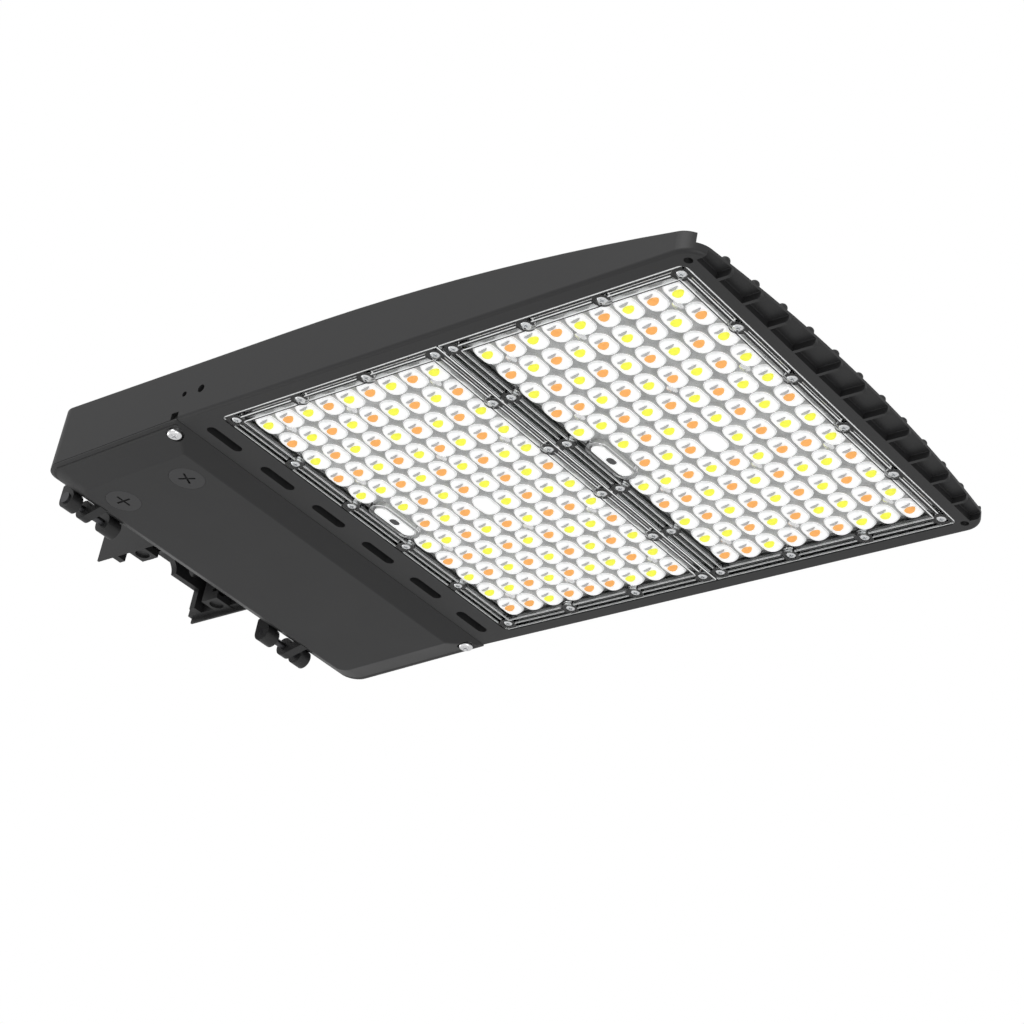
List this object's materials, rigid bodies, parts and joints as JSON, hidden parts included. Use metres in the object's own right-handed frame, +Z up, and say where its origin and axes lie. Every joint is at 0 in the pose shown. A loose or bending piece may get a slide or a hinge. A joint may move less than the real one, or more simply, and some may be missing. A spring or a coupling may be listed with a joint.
{
  "type": "shoebox area light",
  "caption": "Flat outdoor LED area light for a pole, with two clear-lensed LED modules, a hinged door over its driver and a short arm.",
  "frame": {"origin": "midway between the two pole bolts, on the pole side of the arm's bolt plate", "axes": "+X from the pole to the front of the light, +Y across it, +Z up; the LEDs face down"},
  "size_m": [0.4879, 0.2526, 0.05],
  "materials": {
    "bronze_paint": "satin",
    "steel": "satin",
    "black_silicone": "matte",
    "board_coating": "matte",
    "led_phosphor_cool": "matte",
    "led_phosphor_warm": "matte",
    "clear_lens": "gloss",
    "white_nylon": "matte",
    "driver_paint": "satin",
    "black_plastic": "matte",
    "lead_insulation": "satin",
    "green_screw": "satin"
  },
  "bodies": {
    "fixture": {"housing": "bronze_paint", "mounting_arm": "bronze_paint", "arm_gasket": "black_silicone", "arm_bolts": "steel", "wire_grommet": "black_silicone", "rear_led_board": "board_coating", "front_led_board": "board_coating", "cool_leds": "led_phosphor_cool", "warm_leds": "led_phosphor_warm", "board_screws": "steel", "board_connectors": "white_nylon", "rear_lens_gasket": "black_silicone", "front_lens_gasket": "black_silicone", "rear_lens": "clear_lens", "front_lens": "clear_lens", "lens_screws": "steel", "driver_case": "driver_paint", "driver_base": "driver_paint", "driver_screws": "steel", "power_selector_socket": "black_plastic", "cct_selector_socket": "black_plastic", "terminal_block": "black_plastic", "terminal_screws": "steel", "surge_protector": "black_plastic", "input_leads": "lead_insulation", "output_leads": "lead_insulation", "earth_screw": "green_screw", "near_hinge_pin": "steel", "far_hinge_pin": "steel"},
    "door_leaf": {"door": "bronze_paint", "door_gasket": "black_silicone", "screw_retainers": "white_nylon"},
    "near_screw": {"near_door_screw": "steel"},
    "far_screw": {"far_door_screw": "steel"},
    "power_plug_body": {"power_plug": "black_plastic", "power_plug_seal": "black_silicone"},
    "cct_plug_body": {"cct_plug": "black_plastic", "cct_plug_seal": "black_silicone"},
    "power_knob": {"power_selector_knob": "white_nylon"},
    "cct_knob": {"cct_selector_knob": "white_nylon"}
  },
  "joints": [
    {"name": "door_hinge", "type": "hinge", "parent": "fixture", "child": "door_leaf", "pos_m": [0.0393, 0, -0.03073], "axis": [0, 1, 0], "range_deg": [0, 100]},
    {"name": "near_screw_lift", "type": "slide", "parent": "door_leaf", "child": "near_screw", "axis": [0.0365, 0, -0.9993], "range_m": [0, 0.0065]},
    {"name": "far_screw_lift", "type": "slide", "parent": "door_leaf", "child": "far_screw", "axis": [0.0365, 0, -0.9993], "range_m": [0, 0.0065]},
    {"name": "power_plug_turn", "type": "hinge", "parent": "door_leaf", "child": "power_plug_body", "pos_m": [0.11857, -0.0889, -0.03031], "axis": [0.0365, 0, -0.9993], "continuous": true},
    {"name": "cct_plug_turn", "type": "hinge", "parent": "door_leaf", "child": "cct_plug_body", "pos_m": [0.0703, -0.0889, -0.03207], "axis": [0.0365, 0, -0.9993], "continuous": true},
    {"name": "power_selector_turn", "type": "hinge", "parent": "fixture", "child": "power_knob", "pos_m": [0.1183, -0.0889, -0.0195], "axis": [0, 0, -1], "range_deg": [-135, 135]},
    {"name": "cct_selector_turn", "type": "hinge", "parent": "fixture", "child": "cct_knob", "pos_m": [0.07, -0.0889, -0.0195], "axis": [0, 0, -1], "range_deg": [-135, 135]}
  ]
}
